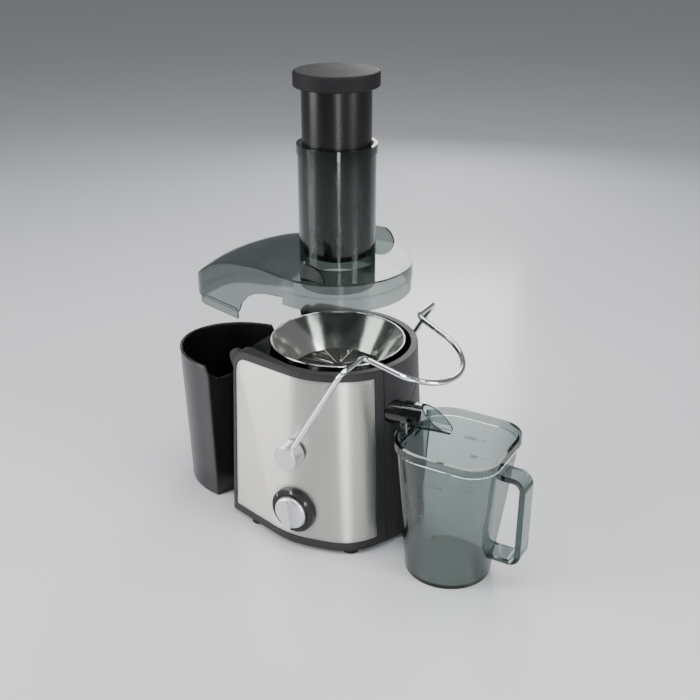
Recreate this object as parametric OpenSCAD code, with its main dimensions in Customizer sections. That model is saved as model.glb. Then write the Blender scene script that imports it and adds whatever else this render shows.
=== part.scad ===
// Centrifugal juicer with a wide feed chute, a wire locking arm, a pulp bin
// on the left and a juice jug on the right, shown ready to be put together:
// lid and pusher raised, locking arm swung open, bin and jug beside the base.
// The origin is on the worktop under the drive axis. +X is towards the jug,
// -Y is the front with the dial, +Z is up. Millimetres.

/* [Motor base] */
// height of the base's top rim above the worktop
base_h = 211.5; // [200:0.5:225]
// underside of the base above the worktop
base_z0 = 5; // [4:0.5:8]
// radius of the base round the drive axis at the top
base_r_top = 87.3; // [86.5:0.1:92]
// radius of the base round the drive axis at the bottom
base_r_bot = 98.5; // [94:0.1:104]
// how far the left corners of the base reach at the top
base_left_top = 88; // [86:0.5:91]
// how far the left corners of the base reach at the bottom
base_left_bot = 99; // [95:0.5:101]
// half the depth of the left side
base_half_left = 78; // [76:0.5:82]
// wall thickness of the plastic housing
base_wall = 3.6; // [3.4:0.1:4.2]
// thickness of the brushed steel front sheet
panel_t = 0.8; // [0.6:0.1:1.2]
// height of the steel sheet's bottom edge
panel_z0 = 14; // [12:0.5:20]
// height of the steel sheet's top edge
panel_z1 = 203; // [190:0.5:204]
// width of the raised trim round the steel sheet
trim_w = 7; // [4:0.5:9]

/* [Dial] */
// height of the dial's centre
dial_z = 46; // [42:0.5:60]
// radius of the black dial bezel
bezel_r = 26; // [24:0.5:30]
// radius of the speed knob
knob_r = 19; // [16:0.5:20]
// how far the knob stands out of the bezel
knob_h = 13; // [8:0.5:16]

/* [Bowl and basket] */
// radius of the basket's open rim
basket_r = 71.7; // [68:0.1:72.5]
// height of the basket's rim
basket_z = 214; // [208:0.5:215]
// radius of the grating disc
disc_r = 45; // [40:0.5:48]
// height of the grating disc
disc_z = 180; // [176:0.5:180]
// thickness of the basket's steel
basket_t = 0.9; // [0.6:0.1:1.2]
// height of the bowl's rim
bowl_z = 197; // [192:0.5:197]
// height of the bowl's floor
bowl_floor_z = 150; // [149:0.5:151]

/* [Lid and chute] */
// how far the lid is raised off its seat
lid_lift = 78; // [78:1:90]
// outer radius of the lid's round part
lid_r = 79.3; // [78:0.1:79.3]
// height of the lid's side wall above its seating step
lid_h = 16; // [14:0.5:20]
// depth of the skirt that drops into the base
lid_skirt = 14; // [8:0.5:14]
// wall thickness of the lid
lid_t = 2.4; // [1.8:0.1:2.6]
// outer radius of the feed chute
chute_r = 40; // [34:0.5:42]
// height of the chute above the lid
chute_h = 122.4; // [90:0.5:150]
// wall thickness of the chute
chute_t = 2.6; // [2:0.1:3.2]
// how far the pulp hood reaches left of the drive axis
hood_reach = 170; // [150:1:180]

/* [Pusher] */
// how far the pusher is pulled up in the chute
pusher_lift = 56; // [54:1:70]
// gap all round between the pusher and the chute
pusher_gap = 2.2; // [1.2:0.1:5]
// radius of the pusher's cap
cap_r = 43.2; // [41:0.1:46]
// height of the cap
cap_h = 15.6; // [10:0.1:20]
// length of the pusher below the cap
pusher_len = 171.5; // [150:0.5:171.5]

/* [Locking arm] */
// height of the arm's pivot
arm_z = 117.5; // [112:0.5:120]
// distance from the pivot to the arm's bend
arm_len = 131.3; // [130.8:0.1:132]
// thickness of the wire
wire_d = 6; // [4:0.5:6]
// distance of each leg from the middle
arm_half = 104; // [103:0.5:106]
// how far the arm is swung open from upright
arm_open = 30.2; // [28:0.1:34]
// tilt of the arm's loop
loop_tilt = 10.6; // [8:0.2:12]
// radius of the arm's hubs
hub_r = 13.7; // [12:0.1:15]

/* [Juice jug] */
// distance of the jug's centre from the drive axis
jug_x = 160; // [159:1:175]
// how far forward the jug stands
jug_y = -40; // [-44:1:-36]
// height of the jug's rim
jug_h = 157; // [150:0.5:160]
// radius of the jug's round bottom
jug_r = 46; // [40:0.5:50]
// wall thickness of the jug
jug_t = 2.2; // [1.8:0.1:3]

/* [Juice spout] */
// height of the spout's middle
spout_z = 159; // [158.6:0.1:160]
// outer radius of the spout's stub
spout_r = 11.8; // [9:0.1:11.9]
// length of the nozzle that slides over the stub
nozzle_len = 52; // [46:1:55]

/* [Pulp bin] */
// height of the bin's rim
bin_h = 172; // [150:1:176]
// height of the bin's rim on the side facing the base
bin_low = 155; // [140:1:155]
// half the width of the bin at its rim
bin_half = 68; // [60:1:72]
// how far the bin reaches left of the drive axis
bin_reach = 209; // [200:1:215]
// wall thickness of the bin
bin_t = 2.4; // [2:0.1:3]

/* [Hidden] */
$fn = 72;

// small gap that keeps neighbouring pieces apart
gap = 0.3;
// running clearance of a shaft in a bearing
run = 0.05;

// height of the lid's seating step in the raised position
lid_z = base_h + 0.5 + lid_lift;
// height of the lid's top
lid_top = lid_z + lid_h;
// height of the chute's mouth
chute_z = lid_top + chute_h;
// underside of the pusher's cap
cap_z = chute_z + pusher_lift;
// outer radius of the pusher
pusher_r = chute_r - chute_t - pusher_gap;
// centre of the hood's rounded left corners
hood_cr = 30;
hood_cx = -(hood_reach - hood_cr);
hood_cy = 13;
// shaft
shaft_r = 4;
// slope of the flared base, in millimetres of radius per millimetre of height
flare = (base_r_bot - base_r_top) / (base_h - base_z0);
// distance from the axis to the front face at a height
function front_at(z) = base_r_bot - flare * (z - base_z0);
// hub length outside the face
hub_y0 = front_at(arm_z - hub_r) + 0.35;
hub_len = 18;
// spout direction and where it leaves the base
spout_y = -26;
spout_turn = 8;
// top of the deck under the bowl
deck_z = bowl_floor_z - 8;
// where the base is screwed together
boss_at = [[-62, 60], [54, 58]];

// ---------- shared outlines ----------

// one end of the base's outline, shrunk all round by inset
module plan_top(inset) {
    circle(r = base_r_top - inset, $fn = 96);
    for (s = [-1, 1])
        translate([-(base_left_top - 8), s * (base_half_left - 8)]) circle(r = 8 - min(inset, 7), $fn = 24);
}

module plan_bottom(inset) {
    circle(r = base_r_bot - inset, $fn = 96);
    for (s = [-1, 1]) {
        translate([27, s * 33]) circle(r = base_r_bot - 38.5 - inset, $fn = 64);
        translate([-(base_left_bot - 8), s * (base_half_left - 8)]) circle(r = 8 - min(inset, 7), $fn = 24);
    }
}

// the flared body between its foot and its rim
module body_loft(inset) {
    hull() {
        translate([0, 0, base_z0]) linear_extrude(0.01) plan_bottom(inset);
        translate([0, 0, base_h - 0.01]) linear_extrude(0.01) plan_top(inset);
    }
}

// side view of the base with its rounded top left corner
module front_view(inset) {
    r = 20;
    x = inset - base_left_top;
    z = base_h - inset;
    polygon(concat(
        [[130, -1], [130, z + 5], [x + r + 1, z + 5]],
        [for (t = [90:7.5:180]) [x + r + r * cos(t), z + 0.06 - r + r * sin(t)]],
        [[x - 17, -1]]
    ));
}

// a wedge seen from above, used to end the steel sheet on the right
module wedge(a) {
    polygon([[0, 0], [260 * cos(a), 260 * sin(a)], [300, 260], [-20, 260]]);
}

// window of the steel sheet, seen from the front
module window_view(grow) {
    r = 15 + grow;
    x0 = -90 - grow;
    x1 = -81.5 - grow;
    difference() {
        polygon([
            [x0, panel_z0 - grow], [120, panel_z0 - grow],
            [120, panel_z1 + grow], [x1, panel_z1 + grow]
        ]);
        difference() {
            translate([x1 - 6, panel_z1 + grow - r]) square([r + 6, r + 1]);
            translate([x1 + r, panel_z1 + grow - r]) circle(r = r + 0.2, $fn = 48);
        }
    }
}

// the front region cut out of the shell between two depths
module front_region(grow, a) {
    difference() {
        rotate([90, 0, 0]) linear_extrude(130) window_view(grow);
        translate([0, 0, -1]) linear_extrude(260) wedge(a);
        // the sheet and its trim stop at the left corner
        translate([-160, -69, -1]) cube([100, 80, 260]);
    }
}

// outline of the lid with its hood, shrunk by inset
module lid_plan(inset) {
    d = norm([hood_cx, hood_cy]);
    u = [hood_cx, hood_cy] / d;
    v = [u[1], -u[0]];
    k = (lid_r - hood_cr) / d;
    n = [k * u[0] - sqrt(1 - k * k) * v[0], k * u[1] - sqrt(1 - k * k) * v[1]];
    m = n[1] > 0 ? n : [k * u[0] + sqrt(1 - k * k) * v[0], k * u[1] + sqrt(1 - k * k) * v[1]];
    a = m * (lid_r - inset);
    b = [hood_cx, hood_cy] + m * (hood_cr - inset);
    e = [hood_cx - hood_cr + inset, hood_cy];
    circle(r = lid_r - inset, $fn = 96);
    for (s = [-1, 1]) translate([hood_cx, s * hood_cy]) circle(r = hood_cr - inset, $fn = 48);
    polygon([a, b, e, [e[0], -e[1]], [b[0], -b[1]], [a[0], -a[1]]]);
}

// hood's domed outside, shrunk by inset: it falls away from the lid's top on an ellipse
module hood_dome(inset, low) {
    a = hood_reach - 60 - inset;
    b = 66 - inset;
    rotate_extrude($fn = 180) polygon(concat(
        [[0, low], [0, lid_top - inset]],
        [for (t = [90:-6:0]) [66 + a * cos(t), lid_top - 66 + b * sin(t)]],
        [[66 + a, low]]
    ));
}

// ring of a cone's skin
module cone_skin(r0, z0, r1, z1, t) {
    rotate_extrude($fn = 96) polygon([[r0, z0], [r0 + t, z0], [r1 + t, z1], [r1, z1]]);
}

module ring(r1, r0, h) {
    difference() {
        cylinder(r = r1, h = h);
        translate([0, 0, -1]) cylinder(r = r0, h = h + 2);
    }
}

function unit(v) = v / norm(v);

// direction of a line of points at each point
function headings(p) = [for (i = [0:len(p) - 1])
    let (q = i > 0 ? unit(p[i] - p[i - 1]) : unit(p[1] - p[0]),
         w = i < len(p) - 1 ? unit(p[i + 1] - p[i]) : q)
    unit(q + w)];

// sideways directions carried along a line without twist
function carried(t, i, m) = i == len(t) ? [] :
    let (u = unit(m - (m * t[i]) * t[i])) concat([u], carried(t, i + 1, u));

// round wire of radius r along a line of points, k points round
module wire(p, r, k) {
    t = headings(p);
    m = carried(t, 0, [1, 0, 0]);
    last = (len(p) - 1) * k;
    points = [for (i = [0:len(p) - 1], j = [0:k - 1])
        p[i] + r * (cos(360 * j / k) * m[i] + sin(360 * j / k) * cross(t[i], m[i]))];
    faces = concat(
        [[for (j = [0:k - 1]) j]],
        [for (i = [0:k:last - k], j = [0:k - 1]) [i + j, i + k + j, i + k + (j + 1) % k]],
        [for (i = [0:k:last - k], j = [0:k - 1]) [i + j, i + k + (j + 1) % k, i + (j + 1) % k]],
        [[for (j = [k - 1:-1:0]) last + j]]
    );
    polyhedron(points = points, faces = faces, convexity = 8);
}

// ---------- motor base ----------

module housing() {
    color("#3a3a3c") difference() {
        union() {
            difference() {
                intersection() {
                    body_loft(0);
                    translate([0, 130, 0]) rotate([90, 0, 0]) linear_extrude(260) front_view(0);
                }
                difference() {
                    translate([0, 0, -1]) body_loft_cavity();
                    // deck under the bowl
                    translate([-130, -130, deck_z - 3]) cube([260, 260, 3]);
                }
            }
            // ring that carries the bowl, from the deck to the rim
            translate([0, 0, deck_z - 1]) difference() {
                cylinder(r = 86, h = base_h - deck_z, $fn = 96);
                translate([0, 0, 1]) cylinder(r = lid_r + 0.5, h = 80, $fn = 96);
            }
            // bosses for the bracket and for the feet
            for (a = [45:90:315]) rotate(a) translate([56, 0, 118]) cylinder(r = 5, h = deck_z - 119);
            for (p = boss_at, s = [-1, 1]) translate([p[0], s * p[1], 9]) cylinder(r = 5, h = deck_z - 11);
            // outlet collar on the left
            for (s = [-1, 1]) hull() {
                translate([-88, s * 70.5 - 2.5, 184]) cube([10, 5, 4]);
                translate([-84, s * 70.5 - 2.5, 200]) rotate([-90, 0, 0]) cylinder(r = 9, h = 5, $fn = 32);
            }
            // hub seats
            for (s = [-1, 1]) translate([0, s * 78, arm_z]) rotate([s * -90, 0, 0]) cylinder(r = 12, h = 12);
        }
        // room for the lid, the hood and the bowl
        translate([0, 0, deck_z]) cylinder(r = lid_r - 0.1, h = 90, $fn = 96);
        translate([0, 0, 190]) cylinder(r = lid_r + 0.5, h = 40, $fn = 96);
        translate([0, 0, 152]) intersection() {
            linear_extrude(90) lid_plan(-1);
            translate([-200, -100, 0]) cube([200, 200, 90]);
        }
        // recess for the steel sheet and its trim
        intersection() {
            difference() {
                front_half();
                body_loft(2);
            }
            front_region(trim_w + 0.2, -26.5);
        }
        // shaft passage
        translate([0, 0, 130]) cylinder(r = 11, h = 30);
        // pivot bores
        for (s = [-1, 1]) translate([0, s * 70, arm_z]) rotate([s * -90, 0, 0]) cylinder(r = 8, h = 40);
        // dial bore and flat seat of the bezel
        translate([0, -70, dial_z]) rotate([90, 0, 0]) cylinder(r = 12, h = 50);
        translate([0, -92.4, dial_z]) rotate([90, 0, 0]) cylinder(r = bezel_r + 0.2, h = 30);
        // drop-shaped opening for the bowl's outlet
        translate([50, 0, 0]) rotate([90, 0, 90]) linear_extrude(70) outlet_view(0);
        spout_line(-4, 90, spout_r + 1.2);
        // cord entry at the back
        translate([-40, 60, 26]) rotate([-90, 0, 0]) cylinder(r = 7, h = 60);
        // screw holes of the bosses
        for (a = [45:90:315]) rotate(a) translate([56, 0, 110]) cylinder(r = 1.8, h = 20);
        for (p = boss_at, s = [-1, 1]) translate([p[0], s * p[1], 5]) cylinder(r = 1.8, h = 18);
    }
    // ring the bowl stands on
    color("#3a3a3c") translate([0, 0, deck_z - 0.5]) ring(72, 66, 5.3, $fn = 96);
}

// round bar along the juice spout, from a start past the bowl's wall
module spout_line(start, length, r) {
    translate([56, spout_y - 5.6, spout_z]) rotate([0, 90, spout_turn]) translate([0, 0, start])
        cylinder(r = r, h = length);
}

// drop-shaped outline of the outlet, seen from the right
module outlet_view(inset) {
    offset(delta = -inset) union() {
        hull() {
            translate([spout_y - 0.5, spout_z]) circle(r = 13.4, $fn = 48);
            translate([-31, 192]) circle(r = 7, $fn = 48);
            translate([28, 192]) circle(r = 14, $fn = 48);
        }
        translate([-38, 192]) square([80, 40]);
    }
}

// the hollow of the base below the rim
module body_loft_cavity() {
    difference() {
        body_loft(base_wall);
        translate([-150, -150, base_h - base_wall - 4]) cube([300, 300, 20]);
        // the ring of material that holds the bowl
        translate([0, 0, deck_z - 3]) cylinder(r = 86, h = 80, $fn = 96);
    }
    hull() {
        translate([0, 0, base_z0 - 1]) linear_extrude(1) plan_bottom(base_wall);
        translate([0, 0, base_z0 + 2]) linear_extrude(1) plan_bottom(base_wall);
    }
}

module front_half() {
    translate([-130, -130, -0.5]) cube([260, 130, 230]);
}

// a skin of the base between two depths inside the front window
module front_skin(d0, d1, grow, a) {
    intersection() {
        difference() {
            body_loft(d0);
            body_loft(d1);
        }
        front_region(grow, a);
    }
}

module front_panel() {
    color("#b9b6ae") difference() {
        front_skin(0.6, 0.6 + panel_t, -0.2, -34);
        translate([0, -70, dial_z]) rotate([90, 0, 0]) cylinder(r = bezel_r + 0.2, h = 50);
        translate([0, -70, arm_z]) rotate([90, 0, 0]) cylinder(r = 10, h = 50);
    }
}

module front_trim() {
    color("#4a4a4c") difference() {
        front_skin(0, 1.8, trim_w - 0.1, -27);
        front_region(0, -33.8);
        spout_line(0, 80, spout_r + 0.6);
        translate([-200, -200, base_h - 22]) difference() {
            cube([140, 200, 40]);
            translate([200, 200, 22 - base_h]) rotate([90, 0, 0]) linear_extrude(200) front_view(0.2);
        }
    }
}

module base_plate() {
    color("#2a2a2c") difference() {
        translate([0, 0, base_z0 + 0.4]) linear_extrude(2.6) floor_plan(base_wall + 1.2);
        for (p = boss_at, s = [-1, 1]) translate([p[0], s * p[1], 0]) cylinder(r = 2.2, h = 20);
        for (i = [-4:4]) translate([i * 7 - 1.5, -24, 0]) cube([3, 48, 20]);
    }
}

module floor_plan(inset) {
    hull() plan_bottom(inset);
}

module rubber_feet() {
    color("#151515") for (p = [[-60, 76], [58, 72]], s = [-1, 1])
        translate([p[0], s * p[1], 0]) cylinder(r = 9, h = base_z0 - 0.02, $fn = 48);
}

module base_screws() {
    color("#8a8c90") for (p = boss_at, s = [-1, 1]) translate([p[0], s * p[1], 2.6]) {
        cylinder(r = 3.6, h = 2.7, $fn = 32);
        cylinder(r = 1.7, h = 18, $fn = 32);
    }
}

// ---------- dial ----------

module dial_bezel() {
    color("#1b1b1d") translate([0, -92.5, dial_z]) rotate([90, 0, 0]) difference() {
        union() {
            cylinder(r = bezel_r, h = 6.6);
            translate([0, 0, 6.6]) cylinder(r1 = bezel_r, r2 = bezel_r - 1.2, h = 1.2);
        }
        translate([0, 0, 6.2]) cylinder(r = knob_r + 1.2, h = 3);
        translate([0, 0, -1]) cylinder(r = 4.5, h = 20);
    }
}

module speed_knob() {
    color("#c9cacc") translate([0, -99.1, dial_z]) rotate([90, 0, 0]) difference() {
        union() {
            rotate_extrude() polygon([
                [0, 0], [knob_r, 0], [knob_r, 4], [knob_r - 1, 6], [knob_r - 2.5, 7], [0, 7.2]
            ]);
            intersection() {
                linear_extrude(knob_h) hull() {
                    translate([0, knob_r - 4]) circle(r = 1.6);
                    translate([0, -knob_r + 8]) circle(r = 6);
                }
                cylinder(r = knob_r - 1.2, h = knob_h);
            }
        }
        translate([0, 0, -1]) cylinder(r = 3.05, h = 5);
    }
}

module knob_stem() {
    color("#e6e4de") translate([0, -70, dial_z]) rotate([90, 0, 0]) cylinder(r = 3, h = 32.4);
}

module rotary_switch() {
    color("#2c2c30") difference() {
        translate([-17, -86, dial_z - 17]) cube([34, 20, 34]);
        translate([0, -60, dial_z]) rotate([90, 0, 0]) cylinder(r = 3.4, h = 40);
    }
}

module pivot_bushes() {
    color("#d8d4c8") for (s = [-1, 1]) translate([0, s * 80, arm_z]) rotate([s * -90, 0, 0]) difference() {
        cylinder(r = 7.9, h = 12);
        translate([0, 0, -1]) cylinder(r = 5 + run, h = 20);
    }
}

// ---------- motor ----------

module motor_bracket() {
    color("#9a9ca0") difference() {
        union() {
            for (a = [45, 135]) rotate(a) translate([-62, -9, 114]) cube([124, 18, 3]);
            translate([0, 0, 108]) cylinder(r = 17, h = 9);
            for (s = [-1, 1]) translate([s * 32 - 2, -12, 24]) cube([4, 24, 91]);
            translate([-34, -12, 24]) cube([68, 24, 3]);
            translate([-34, -12, 114]) cube([68, 24, 3]);
            translate([0, 0, 24]) cylinder(r = 14, h = 9);
        }
        translate([0, 0, 100]) cylinder(r = 11, h = 20);
        translate([0, 0, 20]) cylinder(r = 9, h = 20);
        for (a = [45:90:315]) rotate(a) translate([56, 0, 100]) cylinder(r = 2.2, h = 20);
    }
}

module bracket_screws() {
    color("#8a8c90") for (a = [45:90:315]) rotate(a) translate([56, 0, 111.2]) {
        cylinder(r = 3.8, h = 2.6, $fn = 32);
        cylinder(r = 1.7, h = 14, $fn = 32);
    }
}

module bearings() {
    color("#b0b2b6") {
        translate([0, 0, 109]) ring(10.95, shaft_r + run, 7);
        translate([0, 0, 25]) ring(8.95, shaft_r + run, 7);
    }
}

module stator() {
    color("#6e7074") difference() {
        translate([-29.5, -26, 44]) cube([59, 52, 40]);
        translate([0, 0, 40]) cylinder(r = 21.6, h = 50);
        for (s = [-1, 1]) translate([0, s * 26, 40]) cylinder(r = 13, h = 50);
    }
}

module winding() {
    color("#b5652a") for (s = [-1, 1]) intersection() {
        translate([0, 0, 43]) difference() {
            translate([0, s * 26, 0]) cylinder(r = 12.6, h = 45);
            translate([0, 0, -1]) cylinder(r = 22, h = 60);
        }
        translate([-20, -36, 38]) cube([40, 72, 52]);
    }
}

module armature() {
    color("#77797d") difference() {
        translate([0, 0, 44]) cylinder(r = 21, h = 40);
        translate([0, 0, 40]) cylinder(r = shaft_r, h = 50);
        for (a = [0:30:330]) rotate(a) translate([17, -1.2, 43]) cube([5, 2.4, 42]);
    }
}

module commutator() {
    color("#c07a3c") translate([0, 0, 88]) ring(11, shaft_r, 14);
}

module motor_shaft() {
    color("#c4c6ca") {
        translate([0, 0, 20]) cylinder(r = shaft_r, h = 148);
    }
}

module cooling_fan() {
    color("#d9d6cc") difference() {
        union() {
            translate([0, 0, 34]) cylinder(r = 9, h = 8);
            translate([0, 0, 34]) cylinder(r = 28, h = 1.6);
            for (a = [0:36:324]) rotate(a) translate([8, -0.8, 34]) cube([19.5, 1.6, 7.5]);
        }
        translate([0, 0, 30]) cylinder(r = shaft_r, h = 20);
    }
}

module brush_holders() {
    color("#c8a24a") for (s = [-1, 1]) difference() {
        translate([-6, s * 24 - 11, 89]) cube([12, 22, 12]);
        translate([-3.6, s * 24 - 13, 91.4]) cube([7.2, 26, 7.2]);
    }
}

module carbon_brushes() {
    color("#2b2b2b") for (s = [-1, 1]) translate([-3.4, s * 18.7 - 7.3, 91.6]) cube([6.8, 14.6, 6.8]);
}

module control_board() {
    color("#2f5f3a") {
        translate([44, -34, 40]) cube([1.6, 52, 60]);
        translate([45.6, -20, 60]) cube([8, 16, 12]);
        translate([45.6, 2, 78]) cube([6, 10, 14]);
    }
}

module capacitor() {
    color("#caa63c") translate([-50, 30, 44]) cylinder(r = 9, h = 34);
}

// ---------- interlock ----------

module interlock_switch() {
    color("#26262a") difference() {
        union() {
            translate([-5, 61, 76]) cube([14, 15, 14]);
            translate([-5, 64, 89]) cube([1.6, 10, 6]);
            translate([7.4, 64, 89]) cube([1.6, 10, 6]);
            translate([-5, 64, 94]) cube([14, 10, 1.6]);
        }
        translate([2, 69, 90]) cylinder(r = 2.8, h = 10);
    }
}

module interlock_plunger() {
    color("#d23c2c") translate([2, 69, 92.4]) {
        cylinder(r = 2.4, h = 14.1);
        translate([0, 0, 14]) cylinder(r = 4.4, h = 2);
    }
}

module interlock_spring() {
    color("#b8babd") translate([2, 69, 96.2])
        wire([for (a = [0:24:1440]) [3.5 * cos(a), 3.5 * sin(a), 9 * a / 1440]], 0.35, 8);
}

module cord_gland() {
    color("#1c1c1e") translate([-40, 77, 26]) rotate([-90, 0, 0]) difference() {
        union() {
            cylinder(r = 6.8, h = 19);
            cylinder(r = 9, h = 6);
        }
        translate([0, 0, -1]) cylinder(r = 3.6, h = 30);
    }
}

module shaft_seal() {
    color("#202022") translate([0, 0, deck_z - 2.8]) difference() {
        cylinder(r = 10.8, h = 4);
        translate([0, 0, -1]) cylinder(r = shaft_r + 0.4, h = 10);
    }
}

// ---------- bowl, spout ----------

module juice_bowl() {
    ro = lid_r - 0.7;
    low = bowl_floor_z - 3;
    color("#121213") difference() {
        union() {
            difference() {
                union() {
                    translate([0, 0, low]) cylinder(r = ro, h = bowl_z - low, $fn = 96);
                    // stub of the juice spout
                    spout_line(0, 56, spout_r);
                }
                translate([0, 0, bowl_floor_z]) cylinder(r1 = ro - 4.5, r2 = ro - 2.6, h = 60, $fn = 96);
            }
            // tongue that carries the pulp over the left edge
            intersection() {
                difference() {
                    translate([-base_left_top - 1, -53, 153]) cube([60, 106, bowl_z - 153]);
                    translate([-base_left_top + 1.4, -50.6, 140]) cube([60, 101.2, bowl_z - 142.4]);
                }
                difference() {
                    translate([-200, -60, 150]) cube([200, 120, 60]);
                    cylinder(r = ro - 2.6, h = 250, $fn = 96);
                }
            }
            // sleeve round the coupling
            translate([0, 0, low]) cylinder(r = 20, h = 12);
        }
        translate([0, 0, 100]) cylinder(r = 17.5, h = 100);
        spout_line(-10, 80, spout_r - 2);
    }
}

module outlet_cover() {
    color("#39393b") difference() {
        intersection() {
            body_loft(0.2);
            translate([50, 0, 0]) rotate([90, 0, 90]) linear_extrude(70) outlet_view(0.5);
            translate([0, 0, 100]) cube([200, 200, 260], center = true);
        }
        translate([0, 0, 100]) cylinder(r = lid_r + 0.5, h = 200, $fn = 96);
        spout_line(0, 80, spout_r + 0.5);
    }
}

module spout_nozzle() {
    ro = spout_r + 1.8;
    color([0.45, 0.5, 0.48, 0.5]) translate([96, spout_y, spout_z]) rotate([0, 0, spout_turn]) difference() {
        rotate([0, 90, 0]) cylinder(r = ro, h = nozzle_len);
        translate([-1, 0, 0]) rotate([0, 90, 0]) cylinder(r = spout_r + 0.1, h = nozzle_len + 20);
        // slanted mouth
        translate([nozzle_len, 0, -ro + 2]) rotate([0, 37.6, 0]) translate([-80, -40, 0]) cube([160, 80, 60]);
    }
}

// ---------- spinning basket ----------

module drive_coupling() {
    color("#e8e6e0") difference() {
        union() {
            translate([0, 0, 150]) cylinder(r = 15.5, h = 14);
            for (a = [0:60:300]) rotate(a) translate([9, -2, 164]) cube([5, 4, 5]);
        }
        translate([0, 0, 140]) cylinder(r = shaft_r, h = 60);
    }
}

module basket_hub() {
    z = disc_z - 1.6;
    color("#1d1d1f") difference() {
        union() {
            translate([0, 0, z - 5.4]) cylinder(r = disc_r - 0.4, h = 5.4);
            translate([0, 0, 163]) ring(25, 21.5, z - 163 - 2);
            translate([0, 0, 169.2]) cylinder(r = 15, h = z - 170);
        }
        translate([0, 0, 150]) cylinder(r = 4.4, h = 24);
    }
}

module filter_basket() {
    color("#d4d3cc") cone_skin(disc_r, disc_z - 6.8, basket_r, basket_z - 1.6, basket_t);
}

module grating_disc() {
    color("#5a5a58") {
        difference() {
            translate([0, 0, disc_z - 1.5]) cylinder(r = disc_r - 0.2, h = 1.3, $fn = 96);
            for (k = [1:5], a = [0:360 / (6 * k):359]) rotate(a) translate([7 * k + 5, 0, disc_z - 3])
                cylinder(r = 1, h = 5, $fn = 14);
        }
        for (a = [0:45:315]) rotate(a + 8) translate([6, -0.5, disc_z - 0.4]) cube([disc_r - 9, 1, 1.4]);
    }
}

module basket_rim() {
    color("#cfcec8") translate([0, 0, basket_z - 1.6]) ring(basket_r + 1.8, basket_r, 1.6, $fn = 96);
}

// ---------- locking arm ----------

module locking_arm() {
    // radii of the bends, slant of the loop's sides, half its width and its reach
    ra = 9;
    rb = 9;
    side = 10;
    yb = 61;
    reach = 82.5;
    c = (reach - yb * cos(side)) / (1 - sin(side));
    rl = reach - c;
    cut = rb * tan((90 - side) / 2);
    ct = cos(loop_tilt);
    st = sin(loop_tilt);
    // corner above the hub, then the loop in its tilted plane
    half = concat(
        [[0, -arm_half, 6]],
        [for (a = [0:10:90]) [0, ra - arm_half - ra * cos(a), arm_len - ra + ra * sin(a)]],
        [for (a = [180:-10:90 + side])
            let (u = rb + rb * cos(a)) [u * ct, rb * sin(a) - yb - cut, arm_len + u * st]],
        [for (a = [-90 + side:5:-5])
            let (u = c + rl * cos(a)) [u * ct, rl * sin(a), arm_len + u * st]]
    );
    other = [for (i = [len(half) - 1:-1:0]) [half[i][0], -half[i][1], half[i][2]]];
    color("#dcdcdc") translate([0, 0, arm_z]) rotate([0, arm_open, 0])
        wire(concat(half, [[reach * ct, 0, arm_len + reach * st]], other), wire_d / 2, 18);
}

module arm_hubs() {
    color("#c2c3c6") for (s = [-1, 1]) difference() {
        translate([0, s * hub_y0, arm_z]) rotate([s * -90, 0, 0]) difference() {
            union() {
                cylinder(r = hub_r, h = hub_len - 1);
                translate([0, 0, hub_len - 1]) cylinder(r1 = hub_r, r2 = hub_r - 1, h = 1);
            }
            translate([0, 0, -1]) cylinder(r = 5, h = 8);
        }
        // socket for the end of the wire
        translate([0, s * arm_half, arm_z]) rotate([0, arm_open, 0]) translate([0, 0, 5.9])
            cylinder(r = wire_d / 2 + 0.02, h = 20, $fn = 24);
    }
}

module pivot_pins() {
    color("#a9abae") for (s = [-1, 1]) translate([0, s * 64, arm_z]) rotate([s * -90, 0, 0]) {
        cylinder(r = 5, h = hub_y0 - 64 + 6.8);
        cylinder(r = 8.5, h = 3);
    }
}

// ---------- lid ----------

module ear() {
    polygon(concat(
        [[1.5, lid_top - 1.6], [1.5, lid_top + 20], [4.8, lid_top + 20], [5.4, lid_top + 16.7]],
        [for (t = [90:-10:0]) [11 + 17.6 * cos(t), lid_top - 1 + 17.6 * sin(t)]],
        [[28.6, lid_top - 1.6]]
    ));
}

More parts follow.
